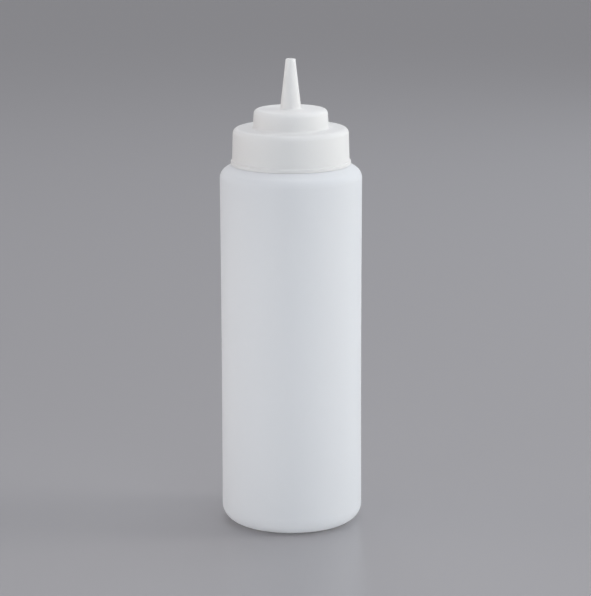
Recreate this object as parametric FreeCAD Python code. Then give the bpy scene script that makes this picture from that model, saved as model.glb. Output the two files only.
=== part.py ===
"""Wide-mouth squeeze bottle for sauces: a blow-moulded soft body and its one-piece screw cap.

The cap is a stepped moulding: a skirt round the neck, a smaller tier on it, and a cone nozzle.
It seats on the lip of the neck, and a thin ring inside the mouth seals it.
Millimetres, +Z up. The origin is on the axis, in the plane that the bottle stands on.
Each piece is turned about the axis from an outline of (radius, height) corners.
"""

import FreeCAD
import Part
import math
import os

# Body
BODY_DIAMETER = 82.5
BODY_HEIGHT = 213.05       # standing plane to the flat that the neck rises from
BODY_WALL = 1.1
WAIST_DRAW = 0.25          # how far the soft wall draws in at half height
HEEL_RADIUS = 9.8
SHOULDER_RADIUS = 6.5
SHOULDER_FALL = 4.6        # how far the slope outside the flat falls to the side
SHOULDER_FLAT = 68.8       # across the flat that the neck rises from
SHOULDER_FLAT_RADIUS = 1.5

# Base, pushed up inside its standing ring
BASE_WALL = 1.3
RING_WIDTH = 4.5           # flat that the bottle stands on
PUSH_UP_STEP = 1.6         # rise just inside the ring
PUSH_UP_CROWN = 1.4        # further rise to the flat middle
PUSH_UP_SLOPE = 3.0        # how far in the step reaches
PUSH_UP_FLAT = 24.0        # across the flat middle
PUSH_UP_RADIUS = 8.0
RING_EDGE_RADIUS = 1.5

# Neck
NECK_DIAMETER = 59.8       # plain wall, under the thread
NECK_HEIGHT = 19.55        # shoulder's flat to lip
NECK_WALL = 1.7
NECK_ROOT_RADIUS = 1.6
LIP_RADIUS = 0.4

# Cap skirt
THREAD_DEPTH = 1.3         # room for the neck's thread
THREAD_CLEARANCE = 0.3     # thread to skirt at the skirt's narrow end
SKIRT_WALL = 2.0
SKIRT_DRAFT = 1.5          # degrees
SKIRT_GAP = 0.5            # skirt's rim to the shoulder's flat
CAP_TOP_WALL = 1.6
CAP_EDGE_RADIUS = 3.2
RIM_BEAD_HEIGHT = 1.85
RIM_BEAD_PROUD = 0.8       # how far the bead stands out of the skirt
RIM_BEAD_RADIUS = 0.65
RIM_BEAD_FOOT_RADIUS = 0.2

# Seal ring, which plugs the mouth
SEAL_CLEARANCE = 0.3
SEAL_DEPTH = 3.2
SEAL_WALL = 1.2
SEAL_DRAFT = 4.0           # degrees

# Tier
TIER_DIAMETER = 43.8       # at its foot
TIER_HEIGHT = 10.9
TIER_WALL = 1.6
TIER_DRAFT = 3.4           # degrees
TIER_EDGE_RADIUS = 2.7
TIER_FOOT_RADIUS = 1.2

# Nozzle
NOZZLE_DIAMETER = 12.2     # at its foot
NOZZLE_HEIGHT = 29.0
NOZZLE_TIP_DIAMETER = 5.6
NOZZLE_FOOT_RADIUS = 1.2
NOZZLE_TIP_RADIUS = 0.5
NOZZLE_WALL = 1.4          # at its foot
ORIFICE_DIAMETER = 3.0

# Places that follow from the sizes
BODY_R = BODY_DIAMETER / 2
NECK_R = NECK_DIAMETER / 2
MOUTH_R = NECK_R - NECK_WALL
LIP_Z = BODY_HEIGHT + NECK_HEIGHT
CAP_TOP_Z = LIP_Z + CAP_TOP_WALL
RIM_Z = BODY_HEIGHT + SKIRT_GAP
TIER_TOP_Z = CAP_TOP_Z + TIER_HEIGHT
TIP_Z = TIER_TOP_Z + NOZZLE_HEIGHT

AXIS_POINT = FreeCAD.Vector(0, 0, 0)
AXIS = FreeCAD.Vector(0, 0, 1)
CUT_PAST = 1.0             # how far a cut runs past the face that it opens


def spread(height, degrees):
    """How far a face with this draft moves sideways over a height."""
    return height * math.tan(math.radians(degrees))


def rounding(before, corner, after, radius):
    """The start, middle and end of the arc that rounds a corner."""
    arriving = (corner - before).normalize()
    leaving = (after - corner).normalize()
    half_turn = arriving.getAngle(leaving) / 2
    reach = radius * math.tan(half_turn)
    inward = (leaving - arriving).normalize()
    middle = corner + inward * (radius / math.cos(half_turn) - radius)
    return corner - arriving * reach, middle, corner + leaving * reach


def side(start, end, bow):
    """An outline's straight side, or one whose middle bows toward the axis by this much."""
    if not bow:
        return Part.LineSegment(start, end).toShape()
    pull = (start + end) / 2 - FreeCAD.Vector(2 * bow, 0, 0)
    curve = Part.BezierCurve()
    curve.setPoles([start, pull, end])
    return curve.toShape()


def outline(corners):
    """A closed wire through corners of (radius, height).

    A third number rounds its corner, and a fourth bows the side that follows it.
    """
    points = [FreeCAD.Vector(corner[0], 0, corner[1]) for corner in corners]
    count = len(points)
    arcs = []
    for i, corner in enumerate(corners):
        if len(corner) > 2:
            arcs.append(rounding(points[i - 1], points[i], points[(i + 1) % count], corner[2]))
        else:
            arcs.append((points[i], None, points[i]))
    edges = []
    for i, (start, middle, end) in enumerate(arcs):
        if middle:
            edges.append(Part.Arc(start, middle, end).toShape())
        bow = corners[i][3] if len(corners[i]) > 3 else 0
        edges.append(side(end, arcs[(i + 1) % count][0], bow))
    return Part.Wire(edges)


def turned(corners):
    """The solid that an outline sweeps about the axis."""
    return Part.Face(outline(corners)).revolve(AXIS_POINT, AXIS, 360)


def body_shape(inset, floor, root_radius):
    """Corners of the body up to the root of its neck, drawn in by inset and raised by floor."""
    radius = BODY_R - inset
    top = BODY_HEIGHT - inset
    ring_outer = BODY_R - HEEL_RADIUS
    ring_inner = ring_outer - RING_WIDTH
    neck_r = MOUTH_R if inset else NECK_R
    crown_z = floor + PUSH_UP_STEP + PUSH_UP_CROWN
    return [
        (0, crown_z),
        (PUSH_UP_FLAT / 2, crown_z, PUSH_UP_RADIUS),
        (ring_inner - PUSH_UP_SLOPE, floor + PUSH_UP_STEP, PUSH_UP_SLOPE),
        (ring_inner, floor, RING_EDGE_RADIUS),
        (radius, floor, HEEL_RADIUS - inset, WAIST_DRAW),
        (radius, top - SHOULDER_FALL, SHOULDER_RADIUS - inset),
        (SHOULDER_FLAT / 2 - inset, top, SHOULDER_FLAT_RADIUS + inset),
        (neck_r, top, root_radius),
    ]


def make_bottle():
    """The body: a thin shell, pushed up at the base and open at the mouth."""
    outside = turned(
        body_shape(0, 0, NECK_ROOT_RADIUS)
        + [(NECK_R, LIP_Z, LIP_RADIUS), (0, LIP_Z)]
    )
    cavity = turned(
        body_shape(BODY_WALL, BASE_WALL, NECK_ROOT_RADIUS + BODY_WALL)
        + [(MOUTH_R, LIP_Z + CUT_PAST), (0, LIP_Z + CUT_PAST)]
    )
    return outside.cut(cavity)


def skirt_inner_r(height):
    """Radius inside the skirt at a height: clear of the thread at the lip, wider below."""
    return NECK_R + THREAD_DEPTH + THREAD_CLEARANCE + spread(LIP_Z - height, SKIRT_DRAFT)


def cap_outside():
    """The stepped outside of the cap, with the bead round its rim, as a solid."""
    bead_r = skirt_inner_r(RIM_Z) + SKIRT_WALL + RIM_BEAD_PROUD
    bead_top_z = RIM_Z + RIM_BEAD_HEIGHT
    tier_foot_r = TIER_DIAMETER / 2
    tier_top_r = tier_foot_r - spread(TIER_HEIGHT, TIER_DRAFT)
    return turned([
        (0, RIM_Z),
        (bead_r, RIM_Z, RIM_BEAD_RADIUS),
        (bead_r, bead_top_z, RIM_BEAD_RADIUS),
        (skirt_inner_r(bead_top_z) + SKIRT_WALL, bead_top_z, RIM_BEAD_FOOT_RADIUS),
        (skirt_inner_r(CAP_TOP_Z) + SKIRT_WALL, CAP_TOP_Z, CAP_EDGE_RADIUS),
        (tier_foot_r, CAP_TOP_Z, TIER_FOOT_RADIUS),
        (tier_top_r, TIER_TOP_Z, TIER_EDGE_RADIUS),
        (NOZZLE_DIAMETER / 2, TIER_TOP_Z, NOZZLE_FOOT_RADIUS),
        (NOZZLE_TIP_DIAMETER / 2, TIP_Z, NOZZLE_TIP_RADIUS),
        (0, TIP_Z),
    ])


def skirt_cavity():
    """The room inside the skirt, up to the face that seats on the lip."""
    return turned([
        (0, RIM_Z - CUT_PAST),
        (skirt_inner_r(RIM_Z - CUT_PAST), RIM_Z - CUT_PAST),
        (skirt_inner_r(LIP_Z), LIP_Z, NECK_ROOT_RADIUS / 2),
        (0, LIP_Z),
    ])


def tier_cavity():
    """The room inside the tier, and the tapered passage on through the nozzle."""
    tier_foot_r = TIER_DIAMETER / 2 - TIER_WALL
    roof_z = TIER_TOP_Z - TIER_WALL
    roof_r = tier_foot_r - spread(roof_z - CAP_TOP_Z, TIER_DRAFT)
    bore_r = NOZZLE_DIAMETER / 2 - NOZZLE_WALL
    return turned([
        (0, LIP_Z - CUT_PAST),
        (tier_foot_r, LIP_Z - CUT_PAST),
        (tier_foot_r, CAP_TOP_Z),
        (roof_r, roof_z, TIER_EDGE_RADIUS - TIER_WALL),
        (bore_r, roof_z, NOZZLE_FOOT_RADIUS),
        (ORIFICE_DIAMETER / 2, TIP_Z),
        (ORIFICE_DIAMETER / 2, TIP_Z + CUT_PAST),
        (0, TIP_Z + CUT_PAST),
    ])


def seal_ring():
    """The thin ring under the cap's top that plugs the mouth, tapered to find its way in."""
    outer_r = MOUTH_R - SEAL_CLEARANCE
    end_z = LIP_Z - SEAL_DEPTH
    return turned([
        (outer_r - SEAL_WALL, LIP_Z),
        (outer_r - SEAL_WALL, end_z),
        (outer_r - spread(SEAL_DEPTH, SEAL_DRAFT), end_z),
        (outer_r, LIP_Z),
    ])


def make_cap():
    """The cap, one moulding: skirt, rim bead, tier, nozzle and seal ring."""
    shell = cap_outside().cut(skirt_cavity()).cut(tier_cavity())
    return shell.fuse(seal_ring()).removeSplitter()


def export(name, shape):
    """Writes a sub-part, and stops if it isn't one sound solid."""
    solids = shape.Solids
    if len(solids) != 1 or not solids[0].isValid():
        raise ValueError(f"{name}: {len(solids)} solids, valid {shape.isValid()}")
    solids[0].exportStep(f"parts/{name}.step")
    box = shape.BoundBox
    print(f"{name}: volume {shape.Volume / 1000:.2f} cm3, z {box.ZMin:.2f} to {box.ZMax:.2f}")


os.makedirs("parts", exist_ok=True)
export("bottle", make_bottle())
export("cap", make_cap())
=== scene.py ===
"""Looks of the wide-mouth squeeze bottle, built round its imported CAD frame.

Two pieces replace the two CAD nodes: the soft body and its screw cap. Both are turned about Z
from the same sizes as the CAD, and carry what the CAD leaves out: the screw thread on the neck and
in the skirt, the mould's parting line and the pinched seam under the base.
Metres, +Z up, in the frame of the CAD. The camera looks along +Y.
"""

import math

import bpy
import numpy as np
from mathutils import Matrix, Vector


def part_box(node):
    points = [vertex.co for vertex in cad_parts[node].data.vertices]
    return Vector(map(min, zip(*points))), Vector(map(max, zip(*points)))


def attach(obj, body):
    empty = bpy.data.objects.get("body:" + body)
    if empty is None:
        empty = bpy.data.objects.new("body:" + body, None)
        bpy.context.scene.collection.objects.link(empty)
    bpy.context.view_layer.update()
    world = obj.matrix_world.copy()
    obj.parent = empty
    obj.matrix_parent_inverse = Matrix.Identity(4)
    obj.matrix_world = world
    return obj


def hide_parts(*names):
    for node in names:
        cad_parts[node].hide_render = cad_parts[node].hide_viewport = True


MM = 0.001

# --- Sizes, the same as the CAD's -------------------------------------------------------------

BODY_WALL = 1.1 * MM
WAIST_DRAW = 0.25 * MM
HEEL_RADIUS = 9.8 * MM
SHOULDER_RADIUS = 6.5 * MM
SHOULDER_FALL = 4.6 * MM       # how far the slope outside the flat falls to the side
SHOULDER_FLAT_R = 34.4 * MM    # flat that the neck rises from
SHOULDER_FLAT_RADIUS = 1.5 * MM
SHOULDER_TO_LIP = 19.55 * MM
BASE_WALL = 1.3 * MM
RING_WIDTH = 4.5 * MM
PUSH_UP_STEP = 1.6 * MM
PUSH_UP_CROWN = 1.4 * MM
PUSH_UP_SLOPE = 3.0 * MM
PUSH_UP_FLAT_R = 12.0 * MM
PUSH_UP_RADIUS = 8.0 * MM
RING_EDGE_RADIUS = 1.5 * MM
NECK_R = 29.9 * MM
NECK_WALL = 1.7 * MM
NECK_ROOT_RADIUS = 1.6 * MM
LIP_RADIUS = 0.4 * MM

SKIRT_ROOM = 1.6 * MM          # neck to skirt at the lip
SKIRT_WALL = 2.0 * MM
SKIRT_DRAFT = math.tan(math.radians(1.5))
CAP_TOP_WALL = 1.6 * MM
CAP_EDGE_RADIUS = 3.2 * MM
BEAD_HEIGHT = 1.85 * MM
BEAD_PROUD = 0.8 * MM
BEAD_RADIUS = 0.65 * MM        # its upper corner
BEAD_FOOT_RADIUS = 0.5 * MM    # softer than the CAD's 0.2 mm
SEAL_CLEARANCE = 0.3 * MM
SEAL_DEPTH = 3.2 * MM
SEAL_WALL = 1.2 * MM
SEAL_DRAFT = math.tan(math.radians(4.0))
TIER_R = 21.9 * MM
TIER_HEIGHT = 10.9 * MM
TIER_WALL = 1.6 * MM
TIER_DRAFT = math.tan(math.radians(3.4))
TIER_EDGE_RADIUS = 2.7 * MM
TIER_FOOT_RADIUS = 1.2 * MM
NOZZLE_R = 6.1 * MM
NOZZLE_TIP_R = 2.8 * MM
NOZZLE_FOOT_RADIUS = 1.2 * MM
NOZZLE_TIP_RADIUS = 0.5 * MM
NOZZLE_WALL = 1.4 * MM
ORIFICE_R = 1.5 * MM

# --- Detail that only this model has ----------------------------------------------------------

THREAD_PITCH = 4.2 * MM
THREAD_HEIGHT = 1.15 * MM
THREAD_BASE = 1.5 * MM         # half width at the wall
THREAD_CREST = 0.45 * MM       # half width at the crest
THREAD_TURNS = 1.6
THREAD_BELOW_LIP = 4.0 * MM    # lip to the start of the neck's thread
THREAD_FADE = math.radians(28)  # turn over which each end fades

PARTING_DEPTH = 0.07 * MM      # relief beside the line, whose crest is level with the wall
PARTING_LINE = 0.22 * MM
PARTING_RELIEF = 2.2 * MM
SEAM_PROUD = 0.5 * MM          # pinched seam across the base
SEAM_WIDTH = 0.45 * MM
SEAM_LENGTH = 19.0 * MM        # from the axis to each end
SEAM_FADE_OUT = 2.0 * MM
PARTING_FROM_R = 34.0 * MM     # the line starts outside the neck
PARTING_FADE_IN = 3.0 * MM
RIM_DROP = 0.38 * MM           # the skirt's rim hangs this much lower than the CAD's
RIM_EDGE_RADIUS = 0.2 * MM     # the bead's lower corner
ORIFICE_EDGE_RADIUS = 0.15 * MM
TIER_MOUTH_RADIUS = 0.2 * MM   # edges where the tier's room opens onto the seat
SEAL_EDGE_RADIUS = 0.3 * MM

# --- Mesh density -----------------------------------------------------------------------------

FACES_AROUND = 240
FINE_FACES = (0.08, 0.18, 0.3, 0.45, 0.65, 0.9, 1.15)   # degrees each side of the parting line
ARC_STEP = math.radians(7)     # most that one run of a rounding turns
THREADED_STEP = 0.28 * MM      # longest run of an outline on a threaded wall
SEAM_STEP = 0.5 * MM
BODY_STEP = 6.0 * MM
CAP_STEP = 3.0 * MM
WALL_SLACK = 0.2 * MM          # how far off the skirt's wall a place still counts as on it
SHARP_ANGLE = math.radians(38)

# --- Camera -----------------------------------------------------------------------------------

CAMERA_DISTANCE = 1.5141
CAMERA_HEIGHT = 0.4699
CAMERA_SIDE = 0.00247          # right of the bottle's axis
CAMERA_PITCH = math.radians(12.53)
CAMERA_ROLL = math.radians(-0.16)
CAMERA_LENS = 161.4
SENSOR_WIDTH = 36.0


def rounded(corners):
    """Points of an outline through (radius, height) corners. A third number rounds its corner."""
    points = []
    for i, corner in enumerate(corners):
        here = Vector(corner[:2])
        if len(corner) < 3:
            points.append(here)
            continue
        arriving = (here - Vector(corners[i - 1][:2])).normalized()
        leaving = (Vector(corners[(i + 1) % len(corners)][:2]) - here).normalized()
        turn = arriving.angle_signed(leaving)
        reach = corner[2] * math.tan(abs(turn) / 2)
        start = here - arriving * reach
        side = 1 if turn < 0 else -1
        centre = start + Vector((-arriving.y, arriving.x)) * corner[2] * side
        spoke = start - centre
        steps = max(2, math.ceil(abs(turn) / ARC_STEP))
        for k in range(steps + 1):
            angle = side * abs(turn) * k / steps
            points.append(centre + Vector((
                spoke.x * math.cos(angle) - spoke.y * math.sin(angle),
                spoke.x * math.sin(angle) + spoke.y * math.cos(angle),
            )))
    return points


def divided(points, longest):
    """The same outline, its runs cut to at most the length that longest gives for their middle."""
    out = [points[0]]
    for before, after in zip(points, points[1:]):
        count = max(1, math.ceil((after - before).length / longest((before + after) / 2)))
        out += [before.lerp(after, k / count) for k in range(1, count + 1)]
    return out


def ring_angles(count, fine_at=(), offsets=()):
    """Angles round the axis, evenly spread, with finer ones beside the given angles."""
    angles = {round(2 * math.pi * k / count, 9) for k in range(count)}
    for centre in fine_at:
        for offset in offsets:
            for sign in (-1, 1):
                angles.add(round((centre + sign * offset) % (2 * math.pi), 9))
    return np.array(sorted(angles))


def turned(name, outline, angles, detail, loop):
    """A mesh object turned about Z. detail(r, z, a) returns the radius and height moved by detail.

    An outline that isn't a loop starts and ends on the axis.
    """
    radius = np.array([p.x for p in outline])[:, None]
    height = np.array([p.y for p in outline])[:, None]
    turn = angles[None, :]
    r, z = detail(radius + 0 * turn, height + 0 * turn, turn + 0 * radius)
    rows, count = r.shape
    grid = np.stack([r * np.cos(turn), r * np.sin(turn), z], axis=-1)
    vertices = grid.reshape(-1, 3).tolist()
    faces = []
    last_row = rows if loop else rows - 1
    for i in range(last_row):
        below, above = i * count, (i + 1) % rows * count
        for j in range(count):
            k = (j + 1) % count
            faces.append((below + j, below + k, above + k, above + j))
    if not loop:
        for row, order in ((0, -1), (rows - 1, 1)):
            middle = len(vertices)
            vertices.append((0.0, 0.0, float(z[row].mean())))
            ring = [row * count + j for j in range(count)]
            for j in range(count):
                pair = (ring[j], ring[(j + 1) % count])[::order]
                faces.append((middle, *pair))
    mesh = bpy.data.meshes.new(name)
    mesh.from_pydata(vertices, [], faces)
    mesh.validate()
    mesh.shade_smooth()
    mesh.set_sharp_from_angle(angle=SHARP_ANGLE)
    piece = bpy.data.objects.new(name, mesh)
    bpy.context.scene.collection.objects.link(piece)
    return piece


def thread(z, angle, first_z):
    """How far a right-handed thread stands out of a wall: a blunt ridge that fades in and out."""
    along_end = 2 * math.pi * THREAD_TURNS
    proud = np.zeros_like(z)
    for lap in range(math.ceil(THREAD_TURNS) + 1):
        along = (-angle) % (2 * math.pi) + 2 * math.pi * lap
        off = np.abs(z - (first_z - THREAD_PITCH * along / (2 * math.pi)))
        flank = np.clip((THREAD_BASE - off) / (THREAD_BASE - THREAD_CREST), 0, 1)
        end = np.clip(np.minimum(along, along_end - along) / THREAD_FADE, 0, 1)
        ridge = flank * flank * (3 - 2 * flank) * end * end * (3 - 2 * end)
        proud = np.maximum(proud, ridge * THREAD_HEIGHT)
    return proud


# --- The body ---------------------------------------------------------------------------------

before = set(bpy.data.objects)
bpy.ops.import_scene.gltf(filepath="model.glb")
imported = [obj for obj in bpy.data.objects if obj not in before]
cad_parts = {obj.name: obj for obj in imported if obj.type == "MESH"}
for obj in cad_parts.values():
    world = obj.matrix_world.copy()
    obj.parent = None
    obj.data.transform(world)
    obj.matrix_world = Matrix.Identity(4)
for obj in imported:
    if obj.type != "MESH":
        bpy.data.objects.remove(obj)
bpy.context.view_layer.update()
BODY_R = min(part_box("bottle")[1].xy)
LIP_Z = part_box("bottle")[1].z
SHOULDER_Z = LIP_Z - SHOULDER_TO_LIP
RIM_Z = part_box("cap")[0].z - RIM_DROP
TIP_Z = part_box("cap")[1].z
MOUTH_R = NECK_R - NECK_WALL


def bowed(points, inset):
    """The outline with the body's long wall drawn in toward mid height."""
    slope = math.atan2(SHOULDER_FALL, BODY_R - SHOULDER_FLAT_R)
    reach = (SHOULDER_RADIUS - inset) * math.tan((math.pi / 2 - slope) / 2)
    low, high = HEEL_RADIUS, SHOULDER_Z - inset - SHOULDER_FALL - reach
    out = []
    for p in points:
        t = (p.y - low) / (high - low)
        draw = 4 * WAIST_DRAW * t * (1 - t) if 0 < t < 1 and p.x > BODY_R - inset - MM / 2 else 0
        out.append(Vector((p.x - draw, p.y)))
    return out


def body_side(inset, floor_z, neck_r, root_radius):
    """Outline of the body's outside or inside, from near the axis up to the root of the neck."""
    ring_outer = BODY_R - HEEL_RADIUS
    ring_inner = ring_outer - RING_WIDTH
    crown_z = floor_z + PUSH_UP_STEP + PUSH_UP_CROWN
    return [
        (MM, crown_z),
        (PUSH_UP_FLAT_R, crown_z, PUSH_UP_RADIUS),
        (ring_inner - PUSH_UP_SLOPE, floor_z + PUSH_UP_STEP, PUSH_UP_SLOPE),
        (ring_inner, floor_z, RING_EDGE_RADIUS),
        (BODY_R - inset, floor_z, HEEL_RADIUS - inset),
        (BODY_R - inset, SHOULDER_Z - inset - SHOULDER_FALL, SHOULDER_RADIUS - inset),
        (SHOULDER_FLAT_R - inset, SHOULDER_Z - inset, SHOULDER_FLAT_RADIUS + inset),
        (neck_r, SHOULDER_Z - inset, root_radius),
        (neck_r, LIP_Z, LIP_RADIUS if not inset else LIP_RADIUS / 2),
        ((NECK_R + MOUTH_R) / 2, LIP_Z),
    ]


def outside_step(p):
    """Longest run allowed at a place on the body's outside: fine on the neck and under the base."""
    if p.y > SHOULDER_Z + MM:
        return THREADED_STEP
    return SEAM_STEP if p.x < SEAM_LENGTH + SEAM_FADE_OUT else BODY_STEP


outside = bowed(divided(rounded(body_side(0, 0, NECK_R, NECK_ROOT_RADIUS)), outside_step), 0)
inside = bowed(divided(
    rounded(body_side(BODY_WALL, BASE_WALL, MOUTH_R, NECK_ROOT_RADIUS + BODY_WALL)),
    lambda p: BODY_STEP,
), BODY_WALL)
outside_count = len(outside)


def body_detail(r, z, angle):
    """Thread on the neck, parting line up two sides, and pinched seam across the base."""
    outer = np.zeros_like(r)
    outer[:outside_count] = 1
    on_neck = outer * (np.abs(r - NECK_R) < MM / 10)
    out_r = r + on_neck * thread(z, angle, LIP_Z - THREAD_BELOW_LIP)
    across = np.abs(r * np.sin(angle))
    relief = (1 - np.exp(-(across / PARTING_LINE) ** 2)) * np.exp(-(across / PARTING_RELIEF) ** 2)
    on_wall = outer * np.clip((r - PARTING_FROM_R) / PARTING_FADE_IN, 0, 1)
    out_r = out_r - PARTING_DEPTH * relief * on_wall
    length = np.clip((SEAM_LENGTH - r) / SEAM_FADE_OUT, 0, 1)
    out_z = z - SEAM_PROUD * outer * length * np.exp(-(across / SEAM_WIDTH) ** 2)
    return out_r, out_z


body_angles = ring_angles(FACES_AROUND, (0, math.pi), [math.radians(a) for a in FINE_FACES])
body = turned("bottle_body", outside + inside[::-1][1:], body_angles, body_detail, loop=False)

# --- The cap ----------------------------------------------------------------------------------

CAP_TOP_Z = LIP_Z + CAP_TOP_WALL
TIER_TOP_Z = CAP_TOP_Z + TIER_HEIGHT


def skirt_r(z):
    """Radius of the skirt's inner wall at a height."""
    return NECK_R + SKIRT_ROOM + (LIP_Z - z) * SKIRT_DRAFT


bead_r = skirt_r(RIM_Z + RIM_DROP) + SKIRT_WALL + BEAD_PROUD
bead_top = RIM_Z + RIM_DROP + BEAD_HEIGHT
seal_r = MOUTH_R - SEAL_CLEARANCE
seal_end = LIP_Z - SEAL_DEPTH
tier_bore = TIER_R - TIER_WALL
roof_z = TIER_TOP_Z - TIER_WALL
cap_outline = rounded([
    (skirt_r(RIM_Z), RIM_Z),
    (bead_r, RIM_Z, RIM_EDGE_RADIUS),
    (bead_r, bead_top, BEAD_RADIUS),
    (skirt_r(bead_top) + SKIRT_WALL, bead_top, BEAD_FOOT_RADIUS),
    (skirt_r(CAP_TOP_Z) + SKIRT_WALL, CAP_TOP_Z, CAP_EDGE_RADIUS),
    (TIER_R, CAP_TOP_Z, TIER_FOOT_RADIUS),
    (TIER_R - TIER_HEIGHT * TIER_DRAFT, TIER_TOP_Z, TIER_EDGE_RADIUS),
    (NOZZLE_R, TIER_TOP_Z, NOZZLE_FOOT_RADIUS),
    (NOZZLE_TIP_R, TIP_Z, NOZZLE_TIP_RADIUS),
    (ORIFICE_R, TIP_Z, ORIFICE_EDGE_RADIUS),
    (NOZZLE_R - NOZZLE_WALL, roof_z, NOZZLE_FOOT_RADIUS),
    (tier_bore - (roof_z - CAP_TOP_Z) * TIER_DRAFT, roof_z, TIER_EDGE_RADIUS - TIER_WALL),
    (tier_bore, CAP_TOP_Z),
    (tier_bore, LIP_Z, TIER_MOUTH_RADIUS),
    (seal_r - SEAL_WALL, LIP_Z, TIER_MOUTH_RADIUS),
    (seal_r - SEAL_WALL, seal_end, SEAL_EDGE_RADIUS),
    (seal_r - SEAL_DEPTH * SEAL_DRAFT, seal_end, SEAL_EDGE_RADIUS),
    (seal_r, LIP_Z),
    (skirt_r(LIP_Z), LIP_Z, NECK_ROOT_RADIUS / 2),
])
cap_outline.append(cap_outline[0])


def cap_step(p):
    """Longest run allowed at a place on the cap: fine on the threaded wall."""
    threaded = NECK_R < p.x < skirt_r(RIM_Z) + WALL_SLACK and p.y < LIP_Z - MM
    return THREADED_STEP if threaded else CAP_STEP


cap_outline = divided(cap_outline, cap_step)[:-1]


def cap_detail(r, z, angle):
    """Thread on the inner wall of the skirt, half a pitch below the neck's."""
    on_wall = (np.abs(r - skirt_r(z)) < MM / 20) * (z < LIP_Z - MM)
    proud = thread(z, angle, LIP_Z - THREAD_BELOW_LIP - THREAD_PITCH / 2)
    return r - on_wall * proud, z


cap = turned("screw_cap", cap_outline, ring_angles(FACES_AROUND), cap_detail, loop=True)

# --- Materials --------------------------------------------------------------------------------


class Nodes:
    """Shorthand for building one material's node tree."""

    def __init__(self, name):
        self.material = bpy.data.materials.new(name)
        self.material.use_nodes = True
        self.tree = self.material.node_tree
        self.shader = self.tree.nodes["Principled BSDF"]
        self.coordinates = self.add("ShaderNodeTexCoord")

    def add(self, kind, inputs=None, **settings):
        """A new node with these inputs and settings."""
        node = self.tree.nodes.new(kind)
        for key, value in settings.items():
            setattr(node, key, value)
        for key, value in (inputs or {}).items():
            self.put(node.inputs[key], value)
        return node

    def put(self, socket, value):
        """Links a socket to an input, or sets the input to a value."""
        if isinstance(value, bpy.types.NodeSocket):
            self.tree.links.new(value, socket)
        else:
            socket.default_value = value

    def noise(self, scale, stretch=(1, 1, 1), detail=2.0):
        """Noise in object space, scale in cells per metre."""
        mapping = self.add("ShaderNodeMapping", {
            "Vector": self.coordinates.outputs["Object"],
            "Scale": stretch,
        })
        return self.add("ShaderNodeTexNoise", {
            "Vector": mapping.outputs["Vector"],
            "Scale": scale,
            "Detail": detail,
        }).outputs["Fac"]

    def between(self, fac, low, high):
        """A number that runs from low to high as noise runs over its usual range."""
        return self.add("ShaderNodeMapRange", {
            "Value": fac, "From Min": 0.3, "From Max": 0.7, "To Min": low, "To Max": high,
        }).outputs["Result"]

    def blend(self, fac, first, second):
        """A colour that runs from the first to the second as fac runs from 0 to 1."""
        node = self.add("ShaderNodeMix", {"Factor": fac}, data_type="RGBA")
        colours = [socket for socket in node.inputs if socket.type == "RGBA"]
        for socket, colour in zip(colours, (first, second)):
            self.put(socket, (*colour, 1) if isinstance(colour, tuple) else colour)
        return next(socket for socket in node.outputs if socket.type == "RGBA")

    def bump(self, height, distance):
        """A normal for relief of this distance in metres."""
        return self.add("ShaderNodeBump", {
            "Height": height, "Distance": distance, "Strength": 1.0,
        }).outputs["Normal"]


PLASTIC_IOR = 1.51
CLOUD_CELLS = 26               # noise cells per metre in the colour
CLOUD_STRETCH = (1, 1, 0.25)   # drawn out up the wall
GLOSS_CELLS = 90
PEEL_CELLS = 420
BODY_PEEL = 0.03 * MM          # height of the orange peel
CAP_PEEL = 0.02 * MM
# Pale, deep and passed-through colours.
BODY_COLOURS = (0.868, 0.897, 0.945), (0.85, 0.882, 0.935), (0.985, 0.97, 0.96)
CAP_COLOURS = (0.975, 0.967, 0.967), (0.965, 0.957, 0.96), (0.985, 0.978, 0.972)


def polyethylene(name, pale, deep, through, share, roughness, orange_peel):
    """Natural polyethylene. It scatters most light back and passes a share on through its wall.

    The scattered light runs from the pale to the deep colour, the light that passes has its own,
    and the mould leaves a soft uneven gloss. share is how much passes.
    """
    n = Nodes(name)
    clouds = n.noise(CLOUD_CELLS, stretch=CLOUD_STRETCH)
    n.put(n.shader.inputs["Base Color"], n.blend(n.between(clouds, 0, 1), pale, deep))
    n.put(n.shader.inputs["Roughness"], n.between(n.noise(GLOSS_CELLS), *roughness))
    n.put(n.shader.inputs["Normal"], n.bump(n.noise(PEEL_CELLS, detail=3.0), orange_peel))
    n.shader.inputs["IOR"].default_value = PLASTIC_IOR
    passed = n.add("ShaderNodeBsdfTranslucent", {"Color": (*through, 1)})
    wall = n.add("ShaderNodeMixShader", {"Fac": share})
    n.put(wall.inputs[1], n.shader.outputs["BSDF"])
    n.put(wall.inputs[2], passed.outputs["BSDF"])
    n.put(n.tree.nodes["Material Output"].inputs["Surface"], wall.outputs["Shader"])
    return n.material


body.data.materials.append(polyethylene(
    "soft_polyethylene", *BODY_COLOURS,
    share=0.37, roughness=(0.36, 0.46), orange_peel=BODY_PEEL,
))
body.data.materials.append(polyethylene(
    "soft_polyethylene_inside", *BODY_COLOURS,
    share=0.92, roughness=(0.4, 0.5), orange_peel=BODY_PEEL,
))

# The faces come as rows from the outside's start to the inside's end, then a fan that closes the
# outside and one that closes the inside.
face_count = len(body.data.polygons)
first_inner_face = (outside_count - 1) * len(body_angles)
outer_fan = face_count - 2 * len(body_angles)
inner_fan = face_count - len(body_angles)
for i in (*range(first_inner_face, outer_fan), *range(inner_fan, face_count)):
    body.data.polygons[i].material_index = 1

cap.data.materials.append(polyethylene(
    "cap_polyethylene", *CAP_COLOURS,
    share=0.31, roughness=(0.32, 0.42), orange_peel=CAP_PEEL,
))

for piece, node, slot in ((body, "bottle", "body_plastic"), (cap, "cap", "cap_plastic")):
    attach(piece, "root")
    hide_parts(node)

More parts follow.
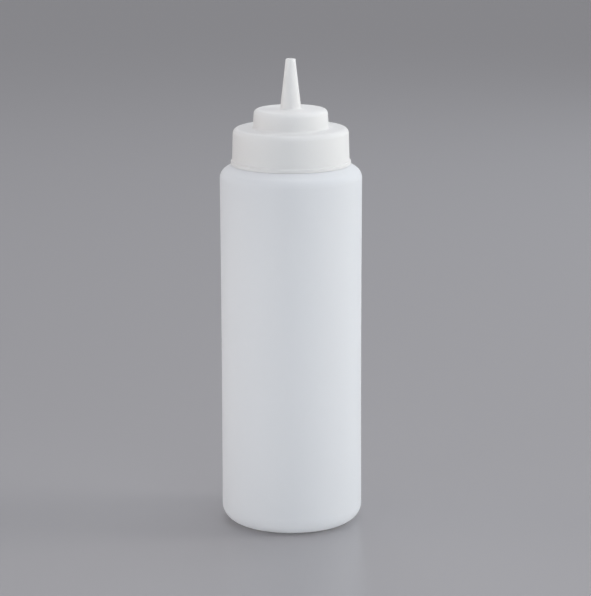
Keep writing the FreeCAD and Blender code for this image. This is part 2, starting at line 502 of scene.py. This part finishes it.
# --- Floor, lights and camera -----------------------------------------------------------------

FLOOR_HALF = 14.0
FLOOR_SEEN = (0.293, 0.283, 0.3), (0.3, 0.29, 0.307)   # the ends of its uneven grey
FLOOR_CELLS = 0.8              # noise cells per metre in it
FLOOR_ROUGHNESS = 0.3          # of the paper and of its thin coat
FLOOR_COAT = 0.5
FLOOR_BOUNCE = (0.86, 0.86, 0.86)   # thrown back at matt surfaces, as a pale table does
SKY_COLOUR = (0.95, 0.955, 1.0, 1)
SKY_LOW = 0.395                # strength near the horizon
SKY_HIGH = 0.43                # strength overhead
SKY_RISE = 0.2, 0.5            # upward parts of a direction, between which it rises
SOFTBOX_SIZE = 1.0
LIGHT_DISTANCE = 1.7
LIGHT_TARGET = Vector((0, 0, 0.13))
GLARE_BELOW = 30               # degrees. Lower lights would show as glare on the floor

floor_mesh = bpy.data.meshes.new("floor")
floor_mesh.from_pydata(
    [(x * FLOOR_HALF, y * FLOOR_HALF, 0) for x, y in ((-1, -1), (1, -1), (1, 1), (-1, 1))],
    [], [(0, 1, 2, 3)],
)
floor = bpy.data.objects.new("floor", floor_mesh)
bpy.context.scene.collection.objects.link(floor)

paper = Nodes("paper")
seen = paper.blend(paper.noise(FLOOR_CELLS), *FLOOR_SEEN)
rays = paper.add("ShaderNodeLightPath")
paper.put(paper.shader.inputs["Base Color"],
          paper.blend(rays.outputs["Is Diffuse Ray"], seen, FLOOR_BOUNCE))
paper.shader.inputs["Roughness"].default_value = FLOOR_ROUGHNESS
paper.shader.inputs["Coat Weight"].default_value = FLOOR_COAT
paper.shader.inputs["Coat Roughness"].default_value = FLOOR_ROUGHNESS
floor_mesh.materials.append(paper.material)

world = bpy.data.worlds.new("studio")
world.use_nodes = True
sky = world.node_tree
sky_background = sky.nodes["Background"]
sky_background.inputs["Color"].default_value = SKY_COLOUR
sky_direction = sky.nodes.new("ShaderNodeTexCoord")
sky_split = sky.nodes.new("ShaderNodeSeparateXYZ")
sky_range = sky.nodes.new("ShaderNodeMapRange")
sky_range.interpolation_type = "SMOOTHSTEP"
sky_range.inputs["From Min"].default_value = SKY_RISE[0]
sky_range.inputs["From Max"].default_value = SKY_RISE[1]
sky_range.inputs["To Min"].default_value = SKY_LOW
sky_range.inputs["To Max"].default_value = SKY_HIGH
sky.links.new(sky_direction.outputs["Generated"], sky_split.inputs["Vector"])
sky.links.new(sky_split.outputs["Z"], sky_range.inputs["Value"])
sky.links.new(sky_range.outputs["Result"], sky_background.inputs["Strength"])
bpy.context.scene.world = world


def softbox(name, azimuth, elevation, watts, colour, size=SOFTBOX_SIZE):
    """A square studio light, aimed at the bottle from these angles in degrees.

    Azimuth 0 is the right, and 90 is behind.
    """
    data = bpy.data.lights.new(name, "AREA")
    data.size = size
    data.energy = watts
    data.color = colour
    light = bpy.data.objects.new(name, data)
    around, up = math.radians(azimuth), math.radians(elevation)
    away = Vector((
        math.cos(up) * math.cos(around),
        math.cos(up) * math.sin(around),
        math.sin(up),
    ))
    light.location = LIGHT_TARGET + away * LIGHT_DISTANCE
    light.rotation_euler = away.to_track_quat("Z", "Y").to_euler()
    light.visible_glossy = elevation > GLARE_BELOW
    bpy.context.scene.collection.objects.link(light)


NEUTRAL = (0.96, 0.98, 1.0)
BLUE = (0.84, 0.96, 1.0)
WARM = (1.0, 0.965, 0.9)
AMBER = (1.0, 0.92, 0.82)
softbox("front left", -135, 20, 2.7, NEUTRAL)
softbox("front right", -67, 13, 4.1, BLUE)
softbox("high front", -90, 70, 1.7, BLUE)
softbox("right", 0, 20, 8.5, WARM, size=0.5)
softbox("low right", 0, 12, 2.7, WARM)
softbox("high right", 8, 43, 2.9, BLUE)
softbox("back right", 45, 15, 6.9, BLUE)
softbox("back", 90, 40, 3.5, NEUTRAL)
softbox("left", 180, 12, 5.9, AMBER)
softbox("top", 0, 88, 4.9, NEUTRAL)

camera_data = bpy.data.cameras.new("camera")
camera_data.lens = CAMERA_LENS
camera_data.sensor_width = SENSOR_WIDTH
camera_data.sensor_fit = "HORIZONTAL"
camera_data.clip_start, camera_data.clip_end = 0.05, 60
camera = bpy.data.objects.new("camera", camera_data)
camera.location = (CAMERA_SIDE, -CAMERA_DISTANCE, CAMERA_HEIGHT)
camera.rotation_mode = "XYZ"
camera.rotation_euler = (math.pi / 2 - CAMERA_PITCH, 0, 0)
camera.rotation_euler.rotate_axis("Z", CAMERA_ROLL)
bpy.context.scene.collection.objects.link(camera)
bpy.context.scene.camera = camera
bpy.context.scene.view_settings.view_transform = "Standard"
